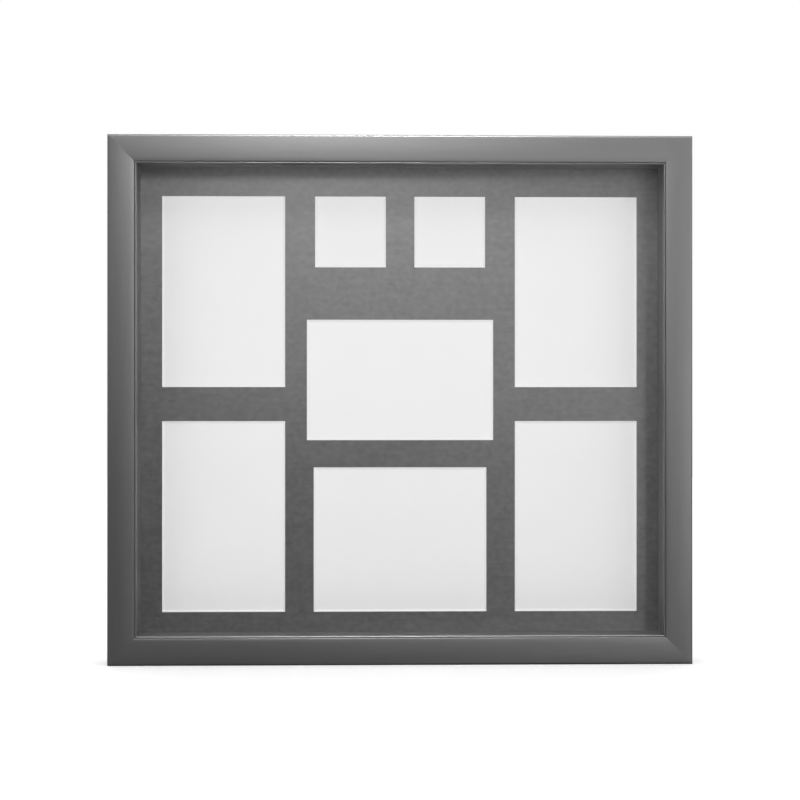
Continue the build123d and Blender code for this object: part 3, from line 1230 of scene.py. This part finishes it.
@dataclass
class StrapHangers:
    """Steel straps with a rolled knuckle, each carrying a ring, screwed to the side rails."""

    width: float = 7.5 * MM
    thickness: float = 0.8 * MM
    length: float = 31 * MM
    bore_radius: float = 1.65 * MM
    hole_spacing: float = 10 * MM
    end_margin: float = 5 * MM
    knuckle_play: float = 0.247 * MM
    roll_turn: float = radians(300)
    edge_round: float = 0.12 * MM
    wire_radius: float = 0.9 * MM
    side_play: float = 0.4 * MM
    corner_radius: float = 2 * MM
    ring_leg: float = 2.5 * MM
    wire_sides: int = 20
    roll_steps: int = 30
    corner_steps: int = 8
    bow_steps: int = 36
    end_sides: int = 64
    plating: PlatedSteel = PlatedSteel((0.6, 0.61, 0.63), (0.25, 0.45), levels=(0.86, 1.14))

    @property
    def axis_height(self) -> float:
        """How far the ring's axis lies above the underside of the strap."""
        return self.thickness + self.knuckle_play + self.wire_radius

    def hole_places(self) -> tuple[float, float]:
        """The places of the two holes along the strap, measured from the ring's axis."""
        last = self.length - self.end_margin
        return (last - self.hole_spacing, last)

    def make_strap(self) -> Object:
        """Bends a sheet from its round end to the knuckle, about the origin, the strap along x.

        Returns:
            The strap.
        """
        centre = Vector((0, self.axis_height, 0))
        middle = self.axis_height - self.thickness / 2
        roll = arc_points(centre, middle, -pi / 2, -pi / 2 - self.roll_turn, self.roll_steps)
        strap = draw_outline("strap", [Vector((self.length, self.thickness / 2, 0)), *roll], closed=False)
        pull(strap, Vector((0, 0, self.width)))
        put(strap, Matrix.Translation((0, self.width / 2, 0)) @ Matrix.Rotation(pi / 2, 4, "X"))
        modify(strap, "SOLIDIFY", thickness=self.thickness, offset=0, use_even_offset=True)
        combine(strap, self.round_end(), "INTERSECT")
        for place in self.hole_places():
            combine(strap, add_rod(self.bore_radius, -self.thickness, self.thickness * 2, place))
        soften(strap, self.edge_round)
        smooth(strap)
        return strap

    def round_end(self) -> Object:
        """Makes the outline of the strap seen from above, round at its far end.

        Returns:
            The body to trim the strap with.
        """
        height = self.axis_height * 3
        middle = self.length - self.width / 2
        outline = add_rod(self.width / 2, -height, height, middle, self.end_sides)
        start_fresh()
        bpy.ops.mesh.primitive_cube_add(size=1)
        knuckle_end = name_active("knuckle_end")
        put(knuckle_end, Matrix.Diagonal((height, self.width, height * 2, 1)))
        join(outline, knuckle_end)
        wrap(outline)
        return outline

    def make_ring(self) -> Object:
        """Bends a round wire to a D about the origin, its bar along y and its bow along x.

        Returns:
            The ring.
        """
        bar = self.width / 2 + self.side_play
        bow_start = self.corner_radius + self.ring_leg
        start_fresh()
        bpy.ops.mesh.primitive_circle_add(
            vertices=self.wire_sides, radius=self.wire_radius, rotation=(pi / 2, 0, 0)
        )
        bpy.ops.object.transform_apply(rotation=True)
        ring = name_active("ring")
        with editing(ring):
            select_all()
            self.run(Vector((0, bar, 0)))
            self.bend(Vector((self.corner_radius, bar, 0)), pi / 2, self.corner_steps)
            self.run(Vector((self.ring_leg, 0, 0)))
            self.bend(Vector((bow_start, 0, 0)), pi, self.bow_steps)
            self.run(Vector((-self.ring_leg, 0, 0)))
            self.bend(Vector((self.corner_radius, -bar, 0)), pi / 2, self.corner_steps)
            self.run(Vector((0, bar, 0)))
            weld()
            face_outwards()
        smooth(ring)
        return ring

    def run(self, move: Vector) -> None:
        """Runs the wire straight on by a move."""
        bpy.ops.mesh.extrude_region_move(TRANSFORM_OT_translate={"value": move})

    def bend(self, centre: Vector, angle: float, steps: int) -> None:
        """Bends the wire on round a centre, clockwise seen against z."""
        bpy.ops.mesh.spin(steps=steps, angle=angle, center=centre, axis=(0, 0, 1))

    def build(self, screw: Object) -> None:
        """Puts both hangers, their rings and their screws in place.

        Args:
            screw: A screw to copy, its head standing on z = 0.
        """
        plating = self.plating.make("zinc_steel")
        strap, ring = self.make_strap(), self.make_ring()
        for piece in (strap, ring, screw):
            dress(piece, plating)
        for side in HangerSide:
            strap_node, ring_node = "strap_hanger_" + side.value, "hanging_ring_" + side.value
            low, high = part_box(strap_node)
            origin = Vector(((low.x + high.x) / 2, low.y, high.z - self.axis_height))
            place = axes(origin, DOWN, BACK)
            stand_in(strap, "strap_" + side.value, place, strap_node)
            axis = place @ Matrix.Translation((0, 0, self.axis_height))
            stand_in(ring, "ring_" + side.value, axis, ring_node, ring_node)
            for name, along in zip(("upper", "lower"), self.hole_places()):
                hole = place @ Matrix.Translation((along, 0, self.thickness))
                driven = hole @ Matrix.Rotation(along / MM, 4, "Z")
                stand_in(screw, f"strap_screw_{side.value}_{name}", driven, "strap_screws")
        for piece in (strap, ring):
            bpy.data.objects.remove(piece)


@dataclass
class Bumpers:
    """Two round rubber bumpers that keep the lower rail off the wall."""

    dome: Dome = Dome(radius=5 * MM, rim=1.1 * MM, height=3.5 * MM, fullness=0.62, steps=14)
    foot_round: float = 0.25 * MM
    sides: int = 56
    sharp: float = radians(40)
    rubber: Moulded = Moulded(
        (0.05, 0.05, 0.05), (0.56, 0.7), grain=Noise(even(1500), 2), grain_depth=0.02 * MM
    )

    def make(self) -> Object:
        """Models one bumper about the origin, standing on z = 0.

        Returns:
            The bumper.
        """
        radius, foot_round = self.dome.radius, self.foot_round
        section = self.dome.half_section((0, 0), (radius - foot_round, 0), (radius, foot_round))
        bumper = draw_outline("bumper", section, closed=False)
        turn(bumper, self.sides)
        smooth(bumper, self.sharp)
        return bumper

    def build(self) -> None:
        """Puts both bumpers in place."""
        pattern = self.make()
        dress(pattern, self.rubber.make("bumper_rubber"))
        for side in HangerSide:
            node = "bumper_" + side.value
            low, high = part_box(node)
            foot = Vector(((low.x + high.x) / 2, low.y, (low.z + high.z) / 2))
            stand_in(pattern, "rubber_" + node, axes(foot, RIGHTWARDS, BACK), node)
        bpy.data.objects.remove(pattern)


# Camera and light


@dataclass(frozen=True)
class Softbox:
    """A square lamp that hangs in the room, aimed at the middle of the frame, seen in sheens only."""

    name: str
    place: tuple[float, float, float]
    strength: float
    side: float = 0.3
    aim: tuple[float, float, float] = (0, 0, 0.19)

    def add(self) -> None:
        """Hangs the lamp in the scene."""
        lamp = bpy.data.lights.new(self.name, "AREA")
        lamp.size = self.side
        lamp.energy = self.strength * pi
        holder = bpy.data.objects.new(self.name, lamp)
        bpy.context.scene.collection.objects.link(holder)
        holder.location = self.place
        holder.rotation_euler = (Vector(self.aim) - holder.location).to_track_quat("-Z", "Y").to_euler()
        holder.visible_diffuse = False
        holder.visible_camera = False
        log.info("%s hung", self.name)


@dataclass
class Studio:
    """The camera where the photographer stood, a pale floor and soft light."""

    image_side: float = 800
    sensor: float = 36
    focal_pixels: float = 1736.6
    distance: float = 1.25
    camera_across: float = -0.0304
    camera_height: float = 0.1901
    camera_tilt: float = radians(90.04)
    camera_turn: float = radians(-1.36)
    floor_side: float = 6.0
    floor_level: float = 0.9
    # the floor's level in sheens: a painted dark reflection, not the floor's own colour
    floor_painted_dark_in_sheens: float = 0.04
    floor_roughness: float = 0.8
    floor_glow: float = 0.2
    room_light: Span = (0.9, 1.7)
    wall_range: Span = (-0.85, -0.3)
    wall_light: Span = (0.06, 0.8)
    lamps: tuple[Softbox, ...] = (
        Softbox("lamp_above", place=(0, -0.6, 1.14), strength=2.6, side=0.15),
        Softbox("lamp_far_right", place=(1.18, -1.03, 1.38), strength=2.0, side=0.4),
        Softbox("lamp_aside", place=(0.9, -1.1, 0.5), strength=0.35),
        Softbox("lamp_right", place=(0.87, -1.82, 0.1), strength=0.64),
        Softbox("lamp_before_high", place=(-0.09, -0.8, 0.62), strength=0.21, side=0.2),
        Softbox("lamp_before", place=(0.02, -1.0, 0.44), strength=0.22, side=0.6),
    )

    def add_camera(self) -> None:
        """Sets up the camera at the photograph's place, angle and focal length."""
        camera = bpy.data.cameras.new("camera")
        camera.sensor_width = self.sensor
        camera.lens = self.focal_pixels / self.image_side * self.sensor
        holder = bpy.data.objects.new("camera", camera)
        bpy.context.scene.collection.objects.link(holder)
        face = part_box(RailSide.TOP.node)[0].y
        holder.location = (self.camera_across, face - self.distance, self.camera_height)
        holder.rotation_euler = (self.camera_tilt, 0, self.camera_turn)
        bpy.context.scene.camera = holder
        log.info("camera set up with a lens of %.1f mm", camera.lens)

    def light_world(self) -> None:
        """Lights the room evenly, with a dim wall in front for sheens, and shows white to the camera."""
        world = bpy.data.worlds.new("studio")
        bpy.context.scene.world = world
        world.use_nodes = True
        world.node_tree.nodes.clear()
        wiring = Wiring(world.node_tree)
        way = wiring.node("ShaderNodeTexCoord", {}).outputs["Generated"]
        towards = wiring.node("ShaderNodeSeparateXYZ", {0: way}).outputs["Y"]
        wall = wiring.span(towards, self.wall_range, self.wall_light)
        room = wiring.span(wiring.maths("POWER", towards, 2.0), WHOLE, self.room_light)
        even_light, mirrored, white = (
            wiring.node("ShaderNodeBackground", {"Color": colour}).outputs[0]
            for colour in (room, wall, opaque(WHITE))
        )
        light = wiring.blend(wiring.ray("Glossy"), even_light, mirrored)
        wiring.node("ShaderNodeOutputWorld", {"Surface": wiring.blend(wiring.seen(), light, white)})

    def add_floor(self) -> None:
        """Lays a pale floor that shows white to the camera and keeps the frame's shadow; in sheens it shows
        nearly black, a painted dark reflection that darkens the frame wherever it mirrors the floor.
        """
        start_fresh()
        bpy.ops.mesh.primitive_plane_add(size=self.floor_side)
        floor = name_active("floor")
        recipe = Recipe("pale_floor")
        pale, mirrored = (opaque((level,) * 3) for level in (self.floor_level, self.floor_painted_dark_in_sheens))
        # glossy rays see the floor nearly black: painted dark reflection on the frame's sheens
        recipe.finish(recipe.mix(recipe.ray("Glossy"), pale, mirrored), self.floor_roughness)
        recipe.feed(recipe.surface.inputs["Emission Color"], opaque(WHITE))
        glow = recipe.span(recipe.seen(), WHOLE, (0.0, self.floor_glow))
        recipe.feed(recipe.surface.inputs["Emission Strength"], glow)
        dress(floor, recipe.material)

    def build(self) -> None:
        """Sets up the camera, the room and the lamps."""
        self.add_camera()
        self.light_world()
        self.add_floor()
        for lamp in self.lamps:
            lamp.add()
        bpy.context.scene.view_settings.view_transform = "Standard"


def main() -> None:
    """Builds the frame's sub-assemblies in order and lights them."""
    logging.basicConfig(level=logging.INFO, format="%(name)s: %(message)s")
    Moulding().build()
    Glazing().build()
    MatPack().build()
    screws = [PanHeadScrew().make() for _ in range(2)]
    TurnButtons().build(screws[0])
    StrapHangers().build(screws[1])
    for screw in screws:
        bpy.data.objects.remove(screw)
    Bumpers().build()
    Studio().build()


if __name__ == "__main__":
    main()
